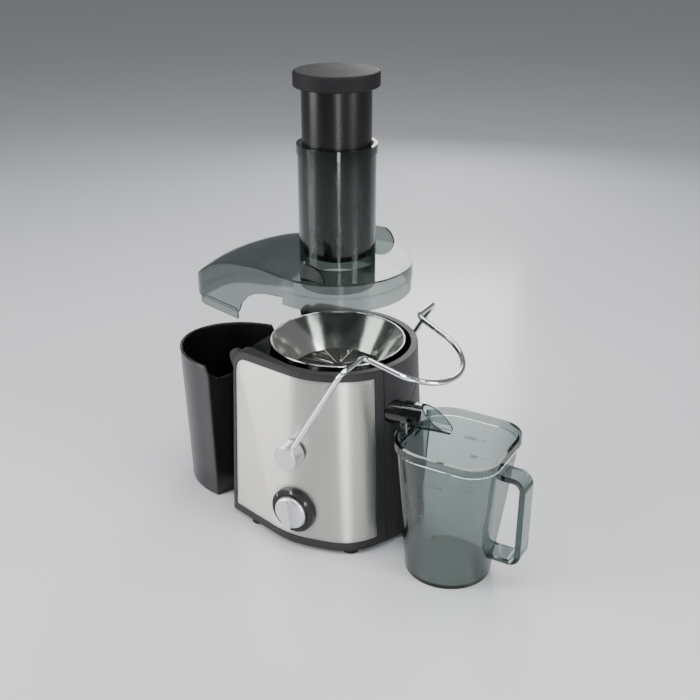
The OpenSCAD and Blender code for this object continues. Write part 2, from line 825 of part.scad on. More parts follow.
module lid() {
    zb = lid_z - lid_skirt;
    zh = lid_top - 60;
    color([0.42, 0.46, 0.44, 0.45]) difference() {
        union() {
            difference() {
                union() {
                    // round part
                    intersection() {
                        translate([0, 0, zh]) linear_extrude(lid_top - zh) lid_plan(0);
                        translate([-66, -100, zh]) cube([170, 200, 100]);
                    }
                    // hood
                    intersection() {
                        translate([0, 0, zh]) linear_extrude(lid_top - zh) lid_plan(0);
                        hood_dome(0, zh - 8);
                        translate([-220, -100, zh]) cube([154.5, 200, 100]);
                    }
                }
                // hollow of the round part
                intersection() {
                    translate([0, 0, zh - 1]) linear_extrude(lid_top - zh + 1 - lid_t) lid_plan(lid_t);
                    translate([-66 + lid_t, -100, zh - 1]) cube([170, 200, 100]);
                }
                // hollow of the hood
                intersection() {
                    translate([0, 0, zh - 1]) linear_extrude(lid_top - zh + 1) lid_plan(lid_t);
                    hood_dome(lid_t, zh - 9);
                    translate([-220, -100, zh - 10]) cube([170, 200, 110]);
                }
                // arch over the base
                translate([0, 120, 0]) rotate([90, 0, 0]) linear_extrude(240) polygon([
                    [120, lid_z], [-12, lid_z], [-20, lid_z - 6], [-46, lid_z - 10], [-62, lid_z - 15],
                    [-74, lid_z - 22], [-84, lid_z - 32], [-90, lid_z - 45], [-93, lid_z - 58],
                    [120, lid_z - 58]
                ]);
            }
            // skirt of the round part
            intersection() {
                difference() {
                    translate([0, 0, zb]) linear_extrude(lid_skirt + 1) lid_plan(0.8);
                    translate([0, 0, zb - 1]) linear_extrude(lid_skirt + 3) lid_plan(0.8 + 2.2);
                }
                translate([-20, -100, zb]) cube([120, 200, 40]);
            }
            // lip of the hood
            intersection() {
                difference() {
                    union() {
                        translate([0, 0, zh - 10]) linear_extrude(12) lid_plan(2.2);
                        translate([0, 0, zh]) linear_extrude(2) lid_plan(0);
                    }
                    translate([0, 0, zh - 11]) linear_extrude(14) lid_plan(4.4);
                }
                translate([-200, -100, zh - 10]) cube([106.5, 200, 12]);
            }
            // chute with its collar
            translate([0, 0, lid_z - 10]) cylinder(r = chute_r, h = chute_z - lid_z + 10, $fn = 96);
            translate([0, 0, chute_z - 9]) cylinder(r = chute_r + 1.1, h = 9, $fn = 96);
            // cams that the arm rides up
            for (s = [-1, 1]) translate([0, s * 72.6 + 1.5, 0]) rotate([90, 0, 0]) linear_extrude(3) ear();
        }
        translate([0, 0, lid_z - 20]) cylinder(r = chute_r - chute_t, h = chute_z, $fn = 96);
    }
}

// ---------- pusher ----------

module pusher_tube() {
    z0 = cap_z - pusher_len;
    color("#1a1a1b") difference() {
        union() {
            translate([0, 0, z0 + 1.5]) cylinder(r = pusher_r, h = pusher_len - 1.5, $fn = 96);
            translate([0, 0, z0]) cylinder(r1 = pusher_r - 1.5, r2 = pusher_r, h = 1.5, $fn = 96);
        }
        translate([0, 0, z0 + 2.4]) cylinder(r = pusher_r - 2.2, h = pusher_len, $fn = 96);
    }
}

module pusher_cap() {
    color("#39393b") difference() {
        union() {
            translate([0, 0, cap_z]) rotate_extrude($fn = 96) polygon(concat(
                [[0, 0], [cap_r - 1, 0], [cap_r, 1]],
                [for (t = [0:15:90]) [cap_r - 3 + 3 * cos(t), cap_h - 3.4 + 3 * sin(t)]],
                [[0, cap_h]]
            ));
            translate([0, 0, cap_z - 8]) cylinder(r = pusher_r - 2.3, h = 8.5, $fn = 96);
        }
        translate([0, 0, cap_z - 9]) cylinder(r = pusher_r - 4.5, h = 19, $fn = 96);
        translate([0, 0, cap_z - 1]) ring(cap_r - 2.5, pusher_r + 2, 9, $fn = 96);
    }
}

// ---------- jug ----------

// rounded outline of the jug's rim, shrunk by inset
module jug_plan(inset, grow) {
    for (s = [-1, 1]) {
        translate([31 + grow, s * 26]) circle(r = 29 - inset, $fn = 48);
        translate([-13 - grow, s * 13]) circle(r = 42 - inset, $fn = 48);
    }
}

module jug_loft(inset, z0, z1) {
    hull() {
        translate([0, 0, z0]) linear_extrude(0.01) translate([0, 0]) circle(r = jug_r - inset, $fn = 64);
        translate([0, 0, z1 - 0.01]) linear_extrude(0.01) jug_plan(inset, 0);
    }
}

module juice_jug() {
    color([0.4, 0.45, 0.44, 0.45]) translate([jug_x, jug_y, 0]) difference() {
        union() {
            jug_loft(0, 0, jug_h);
            // rim band
            intersection() {
                translate([0, 0, jug_h - 9]) linear_extrude(9) hull() jug_plan(-1.2, 0);
                translate([-100, -100, 0]) cube([200, 200, jug_h]);
            }
            // strap handle
            translate([0, 11, 0]) rotate([90, 0, 0]) linear_extrude(22) difference() {
                handle_view(0);
                handle_view(6.5);
            }
        }
        difference() {
            jug_loft(jug_t, 4, jug_h + 6);
            translate([-100, -100, jug_h + 1]) cube([200, 200, 20]);
        }
        spout_notch();
    }
}

// notch that lets the spout in
module spout_notch() {
    translate([-70, spout_y - jug_y - 16, jug_h - 12.5]) cube([40, 39, 30]);
}

// outline of the handle, seen from the front
module handle_view(inset) {
    x1 = 84;
    r = 14;
    z0 = 31;
    z1 = 134;
    translate([0, z0 + inset]) square([x1 - r, z1 - z0 - 2 * inset]);
    translate([0, z0 + r]) square([x1 - inset, z1 - z0 - 2 * r]);
    for (z = [z0 + r, z1 - r]) translate([x1 - r, z]) circle(r = r - inset, $fn = 48);
}

module froth_separator() {
    zt = jug_h - 5.2;
    color([0.4, 0.45, 0.44, 0.4]) translate([jug_x, jug_y, 0]) difference() {
        intersection() {
            union() {
                translate([-45, -36, 30]) cube([1.8, 72, zt - 30]);
                translate([-46, -22, 34]) cube([3.4, 4, zt - 40]);
            }
            jug_loft(jug_t + 0.1, 4, jug_h + 6);
        }
        spout_notch();
    }
}

// ---------- pulp bin ----------

module bin_plan(inset, reach, half) {
    rx = reach - 125;
    translate([-125, 0]) scale([(rx - inset) / (half - inset), 1]) circle(r = half - inset, $fn = 72);
    polygon([
        [-125, -half + inset], [-133, -half + inset + 2], [-111 - inset, -20],
        [-111 - inset, 20], [-133, half - inset - 2], [-125, half - inset]
    ]);
}

// the bin's outline without the side that faces the base
module bin_outline(inset, reach, half) {
    intersection() {
        bin_plan(inset, reach, half);
        translate([-300, -100]) square([300 - 132, 200]);
    }
    polygon([
        [-132.1, -half + inset + 1.4], [-132.1, half - inset - 1.4], [-111 - inset, 20], [-111 - inset, -20]
    ]);
}

module bin_loft(inset, z0, z1) {
    hull() {
        translate([0, 0, z0]) linear_extrude(0.01) bin_outline(inset, bin_reach - 5, bin_half - 5);
        translate([0, 0, z1 - 0.01]) linear_extrude(0.01) bin_outline(inset, bin_reach, bin_half);
    }
}

module pulp_bin() {
    color("#141416") translate([0, 3, 0]) difference() {
        bin_loft(0, 0, bin_h);
        bin_loft(bin_t, 3, bin_h + 4);
        // low rim where the hood slides in
        translate([0, 100, 0]) rotate([90, 0, 0]) linear_extrude(200) polygon([
            [-100, bin_low], [-128, bin_low], [-136, bin_h + 0.1], [-136, bin_h + 5], [-100, bin_h + 5]
        ]);
    }
}

housing();
front_panel();
front_trim();
base_plate();
rubber_feet();
base_screws();
dial_bezel();
speed_knob();
knob_stem();
rotary_switch();
pivot_bushes();
motor_bracket();
bracket_screws();
bearings();
stator();
winding();
armature();
commutator();
motor_shaft();
cooling_fan();
brush_holders();
carbon_brushes();
control_board();
capacitor();
interlock_switch();
interlock_plunger();
interlock_spring();
cord_gland();
shaft_seal();
juice_bowl();
outlet_cover();
spout_nozzle();
drive_coupling();
basket_hub();
filter_basket();
grating_disc();
basket_rim();
locking_arm();
arm_hubs();
pivot_pins();
lid();
pusher_tube();
pusher_cap();
juice_jug();
froth_separator();
pulp_bin();
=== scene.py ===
# %% [markdown]
# # A centrifugal juicer, put together from its measured solids
# The shapes come from the CAD model as fixed solids in metres. This lesson gives each of them the finish of
# the real thing, adds the fine work that solids are too coarse for (rolled rim lines, grating teeth, the
# printed scales) and lights the whole like a product on a table.

# %% Load the solids
import math
import bmesh
import bpy
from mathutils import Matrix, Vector
from mathutils.bvhtree import BVHTree


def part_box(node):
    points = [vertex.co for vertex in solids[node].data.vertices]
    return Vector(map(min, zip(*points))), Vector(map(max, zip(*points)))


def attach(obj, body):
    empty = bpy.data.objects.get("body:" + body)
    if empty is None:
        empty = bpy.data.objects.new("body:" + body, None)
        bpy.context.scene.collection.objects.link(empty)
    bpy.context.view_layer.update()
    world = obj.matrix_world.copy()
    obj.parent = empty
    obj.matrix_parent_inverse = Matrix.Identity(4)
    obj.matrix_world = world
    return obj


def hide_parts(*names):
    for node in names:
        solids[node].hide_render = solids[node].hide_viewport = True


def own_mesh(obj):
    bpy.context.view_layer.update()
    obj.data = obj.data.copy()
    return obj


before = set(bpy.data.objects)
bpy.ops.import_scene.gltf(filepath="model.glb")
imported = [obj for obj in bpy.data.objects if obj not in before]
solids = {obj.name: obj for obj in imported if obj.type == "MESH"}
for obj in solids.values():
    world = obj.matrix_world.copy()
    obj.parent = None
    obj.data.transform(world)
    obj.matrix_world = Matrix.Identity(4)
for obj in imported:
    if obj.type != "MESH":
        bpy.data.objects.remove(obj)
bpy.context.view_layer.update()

# %% [markdown]
# The camera stands some 1.2 m away to the right of the front and looks down at about 25 degrees. Its lens
# is a normal one, so the sides of the upright chute run together only slightly.

# %% Camera
camera_data = bpy.data.cameras.new("camera")
camera_data.lens = 51.9
camera_data.sensor_width = 36
camera = bpy.data.objects.new("camera", camera_data)
camera.location = (0.5146, -0.8595, 0.6714)
camera.rotation_euler = (math.radians(90 - 25.27), 0, math.radians(30.16))
bpy.context.collection.objects.link(camera)
bpy.context.scene.camera = camera
print("camera at", tuple(round(v, 3) for v in camera.location))

# %% [markdown]
# Steel and clear plastic show their surroundings more than themselves. Large soft panels beside the object
# draw the long upright highlights on the steel sheet, the chute and the jug. A dim even room between the
# panels gives the dark bands that make metal read as metal. A panorama image could light the room too, but
# with lamps each highlight can be moved by itself.

# %% Room light
world = bpy.data.worlds.new("room")
bpy.context.scene.world = world
world.use_nodes = True
world_nodes = world.node_tree.nodes
world_nodes["Background"].inputs["Color"].default_value = (0.80, 0.83, 0.88, 1)
world_nodes["Background"].inputs["Strength"].default_value = 0.24


def soft_panel(name, at, towards, width, height, power):
    """A rectangular lamp at a place, aimed at another place."""
    data = bpy.data.lights.new(name, "AREA")
    data.shape = "RECTANGLE"
    data.size, data.size_y = width, height
    data.energy = power
    lamp = bpy.data.objects.new(name, data)
    lamp.location = at
    lamp.rotation_euler = (Vector(towards) - Vector(at)).to_track_quat("-Z", "Y").to_euler()
    lamp.visible_camera = False
    bpy.context.collection.objects.link(lamp)


soft_panel("panel_left_front", (-1.15, -1.0, 0.75), (0, 0, 0.16), 0.75, 1.4, 27)
soft_panel("panel_right", (1.35, -0.15, 0.8), (0, 0, 0.2), 0.4, 1.3, 15)
soft_panel("strip_by_the_camera", (0.86, -1.19, 0.55), (0, 0, 0.16), 0.2, 1.2, 10)
soft_panel("panel_above", (0.1, 0.0, 1.9), (0, 0, 0), 1.6, 1.5, 34)
soft_panel("strip_behind", (-0.5, 1.35, 0.9), (0, 0, 0.25), 0.4, 1.2, 9)

# %% [markdown]
# Several finishes share an effect: the grain that a spark-eroded mould leaves on matt plastic, the drawn
# lines of brushed metal, and the uneven film of handling that changes how gloss reflects. Each finish could
# repeat those nodes. As a group they are built once, and every finish gives them its own scale.


# %% Helpers for node trees
def new_group(name, numbers, outputs):
    """A shader node group with float inputs (name: default) and named float outputs."""
    tree = bpy.data.node_groups.new(name, "ShaderNodeTree")
    for label, value in numbers.items():
        socket = tree.interface.new_socket(name=label, in_out="INPUT", socket_type="NodeSocketFloat")
        socket.default_value = value
    for label in outputs:
        tree.interface.new_socket(name=label, in_out="OUTPUT", socket_type="NodeSocketFloat")
    return tree, tree.nodes.new("NodeGroupInput"), tree.nodes.new("NodeGroupOutput")


def math_node(tree, operation, a, b=None):
    """A Math node; a and b are sockets or numbers. Gives its output socket."""
    node = tree.nodes.new("ShaderNodeMath")
    node.operation = operation
    for index, value in enumerate((a, b)):
        if value is None:
            continue
        if isinstance(value, (int, float)):
            node.inputs[index].default_value = value
        else:
            tree.links.new(value, node.inputs[index])
    return node.outputs[0]


def place_on_piece(tree):
    """Where a point of the surface is, in the piece's own metres."""
    return tree.nodes.new("ShaderNodeTexCoord").outputs["Object"]


def stretched(tree, vector, x, y, z):
    """The place with each direction multiplied, to stretch a pattern."""
    node = tree.nodes.new("ShaderNodeVectorMath")
    node.operation = "MULTIPLY"
    tree.links.new(vector, node.inputs[0])
    node.inputs[1].default_value = (x, y, z)
    return node.outputs[0]


def noise(tree, vector, scale, detail=3.0, rough=0.55):
    """Fractal noise at a place; scale is a number or a socket."""
    node = tree.nodes.new("ShaderNodeTexNoise")
    tree.links.new(vector, node.inputs["Vector"])
    if isinstance(scale, (int, float)):
        node.inputs["Scale"].default_value = scale
    else:
        tree.links.new(scale, node.inputs["Scale"])
    node.inputs["Detail"].default_value = detail
    node.inputs["Roughness"].default_value = rough
    return node.outputs["Fac"]


def ramp(tree, value, low, high, to_low=0.0, to_high=1.0):
    """Maps low..high to to_low..to_high, clamped."""
    node = tree.nodes.new("ShaderNodeMapRange")
    tree.links.new(value, node.inputs["Value"])
    for label, number in (("From Min", low), ("From Max", high), ("To Min", to_low), ("To Max", to_high)):
        if isinstance(number, (int, float)):
            node.inputs[label].default_value = number
        else:
            tree.links.new(number, node.inputs[label])
    return node.outputs["Result"]


# %% Mould grain: the fine pebble of matt plastic
grain_tree, grain_in, grain_out = new_group("mould_grain", {"Scale": 1400.0}, ["Height", "Tone"])
spot = place_on_piece(grain_tree)
pebble = grain_tree.nodes.new("ShaderNodeTexVoronoi")
grain_tree.links.new(spot, pebble.inputs["Vector"])
grain_tree.links.new(grain_in.outputs["Scale"], pebble.inputs["Scale"])
fine = noise(grain_tree, spot, grain_in.outputs["Scale"], 2.0)
height = math_node(grain_tree, "ADD", pebble.outputs["Distance"], fine)
grain_tree.links.new(height, grain_out.inputs["Height"])
grain_tree.links.new(noise(grain_tree, spot, 9.0, 4.0, 0.6), grain_out.inputs["Tone"])
print("mould grain:", len(grain_tree.nodes), "nodes")

# %% [markdown]
# Brushing leaves fine lines that all run one way. Noise draws them when the place is squeezed along the
# lines before it is looked up, so each blot of noise becomes a long streak. Two inputs set how much it is
# squeezed sideways and upwards, and with them the same group draws upright or level lines.

# %% Drawn lines
lines_tree, lines_in, lines_out = new_group(
    "drawn_lines", {"Fineness": 900.0, "Sideways": 1.0, "Upwards": 0.012}, ["Streak", "Height"])
stretch = lines_tree.nodes.new("ShaderNodeCombineXYZ")
for axis, label in (("X", "Sideways"), ("Y", "Sideways"), ("Z", "Upwards")):
    lines_tree.links.new(lines_in.outputs[label], stretch.inputs[axis])
multiply = lines_tree.nodes.new("ShaderNodeVectorMath")
multiply.operation = "MULTIPLY"
lines_tree.links.new(place_on_piece(lines_tree), multiply.inputs[0])
lines_tree.links.new(stretch.outputs[0], multiply.inputs[1])
spot = multiply.outputs[0]
streak = noise(lines_tree, spot, lines_in.outputs["Fineness"], 3.0, 0.7)
broad = noise(lines_tree, spot, math_node(lines_tree, "MULTIPLY", lines_in.outputs["Fineness"], 0.18), 2.0)
lines_tree.links.new(math_node(lines_tree, "MULTIPLY", math_node(lines_tree, "ADD", streak, broad), 0.5),
                     lines_out.inputs["Streak"])
lines_tree.links.new(streak, lines_out.inputs["Height"])
print("drawn lines:", len(lines_tree.nodes), "nodes")

# %% [markdown]
# Nothing that is handled stays evenly glossy. The film has three outputs: broad smears that dull the gloss,
# a few hairline scratches, and a slow ripple for the flatness that moulded plastic never quite has.

# %% Handling film: smears, hairline scratches and ripple
film_tree, film_in, film_out = new_group("handling_film", {"Smear": 14.0}, ["Film", "Scratch", "Ripple"])
spot = place_on_piece(film_tree)
smear = noise(film_tree, stretched(film_tree, spot, 1, 1, 0.5), film_in.outputs["Smear"], 5.0, 0.62)
film_tree.links.new(ramp(film_tree, smear, 0.35, 0.72), film_out.inputs["Film"])
hair = noise(film_tree, stretched(film_tree, spot, 40, 40, 900), 1.0, 2.0)
from_middle = math_node(film_tree, "ABSOLUTE", math_node(film_tree, "SUBTRACT", hair, 0.5))
thin = ramp(film_tree, from_middle, 0.0, 0.006, 1.0, 0.0)
few = ramp(film_tree, noise(film_tree, spot, 31.0, 2.0), 0.60, 0.68)
film_tree.links.new(math_node(film_tree, "MULTIPLY", thin, few), film_out.inputs["Scratch"])
film_tree.links.new(noise(film_tree, spot, 22.0, 1.0), film_out.inputs["Ripple"])
print("effects:", [g.name for g in bpy.data.node_groups])


# %% [markdown]
# A finish is one Principled shader with those effects plugged into it. Edges could be rounded in the mesh,
# but the Bevel node rounds only how they catch the light and adds no faces. Its radius is about a
# millimetre or less on most pieces and some millimetres where the real edge is a soft bend.


# %% Helpers for finishes
def new_finish(name, metallic=0.0, ior=1.5, coat=0.0, coat_rough=0.06, anisotropy=0.0):
    """A material whose constant values sit on the shader itself."""
    material = bpy.data.materials.new(name)
    material.use_nodes = True
    shader = material.node_tree.nodes["Principled BSDF"]
    shader.inputs["Metallic"].default_value = metallic
    shader.inputs["IOR"].default_value = ior
    shader.inputs["Coat Weight"].default_value = coat
    shader.inputs["Coat Roughness"].default_value = coat_rough
    shader.inputs["Anisotropic"].default_value = anisotropy
    return material, material.node_tree, shader


def use_group(tree, group, **values):
    """Places an effect in a finish with this finish's own values."""
    node = tree.nodes.new("ShaderNodeGroup")
    node.node_tree = group
    for label, value in values.items():
        node.inputs[label].default_value = value
    return node


def colour_between(tree, shader, factor, dark, light):
    """Base colour that runs from dark to light."""
    mix = tree.nodes.new("ShaderNodeMix")
    mix.data_type = "RGBA"
    mix.inputs["A"].default_value = (*dark, 1)
    mix.inputs["B"].default_value = (*light, 1)
    tree.links.new(factor, mix.inputs["Factor"])
    tree.links.new(mix.outputs["Result"], shader.inputs["Base Color"])


def relief(tree, shader, height, strength, distance, edge=0.0):
    """Bump from a height, on top of softened edges."""
    bump = tree.nodes.new("ShaderNodeBump")
    bump.inputs["Strength"].default_value = strength
    bump.inputs["Distance"].default_value = distance
    tree.links.new(height, bump.inputs["Height"])
    if edge > 0:
        bevel = tree.nodes.new("ShaderNodeBevel")
        bevel.samples = 4
        bevel.inputs["Radius"].default_value = edge
        tree.links.new(bevel.outputs["Normal"], bump.inputs["Normal"])
    tree.links.new(bump.outputs["Normal"], shader.inputs["Normal"])


def wear(names, material):
    """Gives a finish to CAD solids, in place of the plain colour they came with."""
    for name in names:
        mesh = solids[name].data
        mesh.materials.clear()
        mesh.materials.append(material)
    print(material.name, "->", ", ".join(names))


# %% [markdown]
# The base's shell and the trim round the steel are one charcoal plastic with a matt grain, and the pusher's
# cap is a blacker one. The grain is too fine to see as dots, but it breaks highlights into a soft sheen.
# A higher roughness alone would be as dull, but looks like paint; bump with a slight change of tone looks
# like plastic. The smaller parts inside, from rubber to nylon, are the same mix with other values.


# %% Matt charcoal and black plastics
def matt_plastic(name, dark, light, rough=0.5, scale=1400.0, edge=0.0008, shine=0.32):
    material, tree, shader = new_finish(name, ior=1.46)
    shader.inputs["Specular IOR Level"].default_value = shine
    grain = use_group(tree, grain_tree, Scale=scale)
    film = use_group(tree, film_tree, Smear=9.0)
    colour_between(tree, shader, grain.outputs["Tone"], dark, light)
    uneven = ramp(tree, film.outputs["Film"], 0.0, 1.0, rough, rough + 0.12)
    tree.links.new(uneven, shader.inputs["Roughness"])
    relief(tree, shader, grain.outputs["Height"], 0.22, 0.0002, edge)
    return material


charcoal = matt_plastic("charcoal_plastic", (0.022, 0.022, 0.023), (0.032, 0.032, 0.034), 0.42)
wear(["housing", "outlet_cover", "front_trim"], charcoal)
cap_plastic = matt_plastic("cap_plastic", (0.010, 0.010, 0.011), (0.015, 0.015, 0.016), shine=0.14)
wear(["pusher_cap"], cap_plastic)
satin_black = matt_plastic("satin_black_plastic", (0.012, 0.012, 0.013), (0.02, 0.02, 0.021), 0.3, 1800.0)
wear(["dial_bezel", "base_plate", "cord_gland", "rotary_switch", "interlock_switch"], satin_black)
rubber = matt_plastic("foot_rubber", (0.008, 0.008, 0.008), (0.016, 0.016, 0.016), 0.72, 900.0)
wear(["rubber_feet", "shaft_seal"], rubber)
nylon = matt_plastic("natural_nylon", (0.62, 0.61, 0.57), (0.72, 0.71, 0.66), 0.45)
wear(["knob_stem", "pivot_bushes", "cooling_fan", "drive_coupling"], nylon)
carbon = matt_plastic("pressed_carbon", (0.01, 0.01, 0.01), (0.03, 0.03, 0.03), 0.75, 2600.0, 0.0003)
wear(["carbon_brushes"], carbon)
board_green = matt_plastic("circuit_board", (0.02, 0.09, 0.04), (0.04, 0.14, 0.06), 0.35, 700.0, 0.0003)
wear(["control_board"], board_green)

# %% [markdown]
# The bowl comes from a polished mould: nearly black, with a lacquer-like gloss that the shader's coat gives.
# The bin and the pusher are satin and go without the coat. A low roughness alone would make a perfect
# mirror, so the film's ripple bends the highlights a little and its scratches break them.


# %% Polished black plastic
def gloss_plastic(name, dark, light, rough=0.12, edge=0.0012, coat=0.35, shine=0.5):
    material, tree, shader = new_finish(name, ior=1.5, coat=coat, coat_rough=0.05)
    shader.inputs["Specular IOR Level"].default_value = shine
    film = use_group(tree, film_tree, Smear=12.0)
    colour_between(tree, shader, film.outputs["Film"], dark, light)
    base = ramp(tree, film.outputs["Film"], 0.0, 1.0, rough, rough + 0.09)
    tree.links.new(math_node(tree, "ADD", base, math_node(tree, "MULTIPLY", film.outputs["Scratch"], 0.12)),
                   shader.inputs["Roughness"])
    relief(tree, shader, film.outputs["Ripple"], 0.12, 0.0012, edge)
    return material


piano_black = gloss_plastic("polished_black", (0.004, 0.004, 0.0045), (0.008, 0.008, 0.009))
wear(["juice_bowl", "basket_hub"], piano_black)
bin_black = gloss_plastic("bin_satin_black", (0.008, 0.008, 0.009), (0.012, 0.012, 0.0135), rough=0.22,
                          edge=0.004, coat=0.0, shine=0.55)
wear(["pulp_bin"], bin_black)
pusher_black = gloss_plastic("pusher_black", (0.003, 0.003, 0.003), (0.005, 0.005, 0.005), rough=0.24,
                             coat=0.0, shine=0.34)
wear(["pusher_tube"], pusher_black)
wear(["interlock_plunger"], gloss_plastic("button_red", (0.35, 0.02, 0.015), (0.45, 0.04, 0.03)))
wear(["capacitor"], gloss_plastic("capacitor_yellow", (0.5, 0.32, 0.04), (0.6, 0.4, 0.07), 0.3))

# %% [markdown]
# The front sheet is stainless steel brushed level, round the curve. The drawn lines alone would show the
# grain without its sheen, and an anisotropic shader alone the sheen without its grain, so it has both. The
# sheen spreads up and down across the level lines, which draws the tall soft bands of light. The other
# metals, cast, wound and polished, are the same mix with other values.


# %% Brushed, cast and polished metals
def brushed_metal(name, dark, light, rough, fineness=900.0, depth=0.12, anisotropy=0.5, edge=0.0,
                  level=False):
    material, tree, shader = new_finish(name, metallic=1.0, anisotropy=anisotropy)
    if level:
        lines = use_group(tree, lines_tree, Fineness=fineness, Sideways=0.012, Upwards=1.0)
        shader.inputs["Anisotropic Rotation"].default_value = 0.25
    else:
        lines = use_group(tree, lines_tree, Fineness=fineness)
    film = use_group(tree, film_tree, Smear=7.0)
    colour_between(tree, shader, lines.outputs["Streak"], dark, light)
    spread = ramp(tree, lines.outputs["Streak"], 0.3, 0.7, rough - 0.05, rough + 0.06)
    tree.links.new(math_node(tree, "ADD", spread, math_node(tree, "MULTIPLY", film.outputs["Film"], 0.04)),
                   shader.inputs["Roughness"])
    relief(tree, shader, lines.outputs["Height"], depth, 0.0001, edge)
    return material


sheet_steel = brushed_metal("brushed_sheet_steel", (0.51, 0.49, 0.455), (0.63, 0.61, 0.57), 0.31, 1100.0,
                            depth=0.06, anisotropy=0.82, edge=0.006, level=True)
wear(["front_panel"], sheet_steel)
satin_silver = brushed_metal("satin_silver", (0.66, 0.67, 0.69), (0.74, 0.75, 0.77), 0.34, 300.0,
                             depth=0.04, anisotropy=0.0, edge=0.0007)
wear(["speed_knob", "arm_hubs"], satin_silver)
bright_steel = brushed_metal("polished_basket_steel", (0.66, 0.65, 0.60), (0.74, 0.73, 0.68), 0.13, 500.0,
                             depth=0.05, anisotropy=0.0)
wear(["filter_basket"], bright_steel)
chrome = brushed_metal("bright_chrome", (0.80, 0.81, 0.83), (0.86, 0.87, 0.89), 0.08, 120.0, 0.01, 0.0)
wear(["locking_arm"], chrome)
plain_steel = brushed_metal("plain_steel", (0.45, 0.46, 0.47), (0.58, 0.59, 0.6), 0.32, 700.0, 0.1, 0.2)
wear(["base_screws", "bracket_screws", "pivot_pins", "motor_shaft", "bearings"], plain_steel)
cast_metal = brushed_metal("cast_aluminium", (0.42, 0.43, 0.45), (0.52, 0.53, 0.55), 0.5, 200.0, 0.3, 0.0)
wear(["motor_bracket"], cast_metal)
laminations = brushed_metal("stacked_laminations", (0.16, 0.16, 0.17), (0.3, 0.3, 0.32), 0.5, 400.0, 0.5, 0.0)
wear(["stator", "armature"], laminations)
copper = brushed_metal("enamelled_copper", (0.45, 0.16, 0.06), (0.7, 0.3, 0.14), 0.3, 900.0, 0.6, 0.0)
wear(["winding", "commutator"], copper)
brass = brushed_metal("brass", (0.55, 0.38, 0.14), (0.68, 0.5, 0.22), 0.28, 500.0, 0.1, 0.0)
wear(["brush_holders"], brass)

# %% [markdown]
# Lid, jug and nozzle are smoke-tinted clear plastic, the lid a shade darker. It is true refracting material
# with a tint, so walls seen edge-on turn dark green-grey by themselves and give the pieces dark outlines. A
# plain see-through mix would be faster, but it shows neither those outlines nor any bending. Part of the
# tint sits in the depth of the plastic, so the thick handle and floor are darker than the walls.


# %% Smoke-tinted clear plastic
def smoke_plastic(name, tint, depth, rough=0.03):
    material, tree, shader = new_finish(name, ior=1.47)
    shader.inputs["Transmission Weight"].default_value = 1.0
    film = use_group(tree, film_tree, Smear=10.0)
    darker = tuple(0.94 * c for c in tint)
    colour_between(tree, shader, film.outputs["Film"], tint, darker)
    uneven = ramp(tree, film.outputs["Film"], 0.0, 1.0, rough, rough + 0.05)
    tree.links.new(uneven, shader.inputs["Roughness"])
    relief(tree, shader, film.outputs["Ripple"], 0.06, 0.001)
    inside = tree.nodes.new("ShaderNodeVolumeAbsorption")
    inside.inputs["Color"].default_value = (0.30, 0.38, 0.36, 1)
    inside.inputs["Density"].default_value = depth
    tree.links.new(inside.outputs["Volume"], tree.nodes["Material Output"].inputs["Volume"])
    return material


smoke = smoke_plastic("smoke_clear", (0.52, 0.58, 0.565), 120.0)
wear(["juice_jug", "froth_separator", "spout_nozzle"], smoke)
lid_smoke = smoke_plastic("lid_smoke_clear", (0.37, 0.41, 0.395), 200.0, 0.05)
wear(["lid"], lid_smoke)

# %% [markdown]
# The grating disc is dark etched steel with bright ribs. Holes as fine as these could be cut in the mesh,
# but at this size a pattern shows the same for no faces at all. It is drawn in the disc's own round
# coordinates: equal steps outwards, and a count round that makes the holes square two thirds of the way out.

# %% Etched grating steel
etched, etched_tree, etched_shader = new_finish("etched_grating_steel", metallic=1.0)
disc_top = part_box("grating_disc")[1].z
hole_step = 0.0021
holes_round = 96.0
rib_low, rib_high = disc_top - 0.0009, disc_top - 0.0004
spot = place_on_piece(etched_tree)
split = etched_tree.nodes.new("ShaderNodeSeparateXYZ")
etched_tree.links.new(spot, split.inputs[0])
round_about = math_node(etched_tree, "ARCTAN2", split.outputs["Y"], split.outputs["X"])
across = math_node(etched_tree, "SQRT", math_node(
    etched_tree, "ADD", math_node(etched_tree, "POWER", split.outputs["X"], 2.0),
    math_node(etched_tree, "POWER", split.outputs["Y"], 2.0)))
steps_out = math_node(
    etched_tree, "SINE", math_node(etched_tree, "MULTIPLY", across, 2 * math.pi / hole_step))
steps_round = math_node(etched_tree, "SINE", math_node(etched_tree, "MULTIPLY", round_about, holes_round))
dots = ramp(etched_tree, math_node(etched_tree, "MULTIPLY", steps_out, steps_round), 0.15, 0.5)
high = ramp(etched_tree, split.outputs["Z"], rib_low, rib_high)
bare = math_node(etched_tree, "MAXIMUM", math_node(etched_tree, "MULTIPLY", dots, 0.16), high)
colour_between(etched_tree, etched_shader, bare, (0.012, 0.012, 0.012), (0.62, 0.62, 0.6))
etched_tree.links.new(ramp(etched_tree, bare, 0.0, 1.0, 0.42, 0.22), etched_shader.inputs["Roughness"])
relief(etched_tree, etched_shader, dots, 0.6, 0.0004)
wear(["grating_disc"], etched)

# %% [markdown]
# The basket's mouth is a strip of steel rolled with fine beads. Three thin rings laid on a band would look
# much the same, but meet it with a hard crease. Here a short outline of half-round beads is spun round the
# drive axis into one closed ring.


